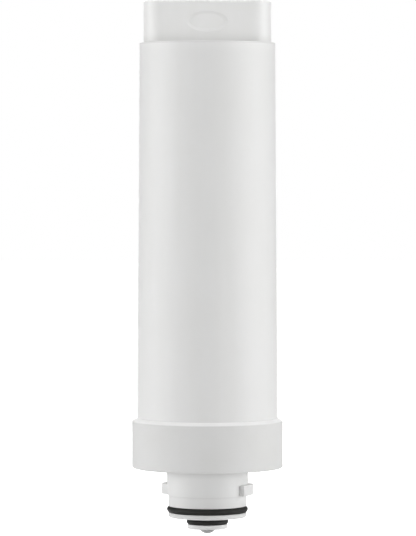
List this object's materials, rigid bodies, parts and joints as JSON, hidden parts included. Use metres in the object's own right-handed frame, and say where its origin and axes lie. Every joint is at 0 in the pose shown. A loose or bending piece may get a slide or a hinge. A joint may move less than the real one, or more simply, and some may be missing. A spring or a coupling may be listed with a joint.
{
  "type": "water filter cartridge",
  "caption": "Push-and-turn water filter cartridge: tapered white housing with a flat grip, welded collar cap with bayonet lugs, O-ring sealed neck and nozzle, and a spring shut-off valve.",
  "frame": {"origin": "on the cartridge's axis, in the seat plane under the collar", "axes": "+Z along the axis from the connector to the grip, -Y out of the face of the grip with the oval recess"},
  "size_m": [0.062, 0.062, 0.2182],
  "materials": {
    "housing_plastic": "white polypropylene, finely grained",
    "cap_plastic": "white polypropylene, satin",
    "ring_rubber": "black moulded rubber, lightly greased",
    "pressed_carbon": "black pressed carbon, porous",
    "fleece": "white nonwoven fleece",
    "disc_plastic": "natural polypropylene",
    "plunger_plastic": "grey acetal",
    "spring_steel": "drawn stainless wire"
  },
  "bodies": {
    "cartridge": {"housing": "housing_plastic", "end_cap": "cap_plastic", "neck_o_ring": "ring_rubber", "nozzle_o_ring": "ring_rubber", "stub_o_ring": "ring_rubber", "carbon_block": "pressed_carbon", "prefilter_wrap": "fleece", "upper_end_disc": "disc_plastic", "lower_end_disc": "disc_plastic", "valve_spring": "spring_steel", "spring_retainer": "disc_plastic"},
    "valve": {"valve_plunger": "plunger_plastic", "valve_seal": "ring_rubber"}
  },
  "joints": [
    {"name": "valve_slide", "type": "slide", "parent": "cartridge", "child": "valve", "axis": [0, 0, 1], "range_m": [0, 0.002], "stiffness_N_per_m": 400, "springref_m": -0.003, "deforming": ["valve_spring"]}
  ]
}
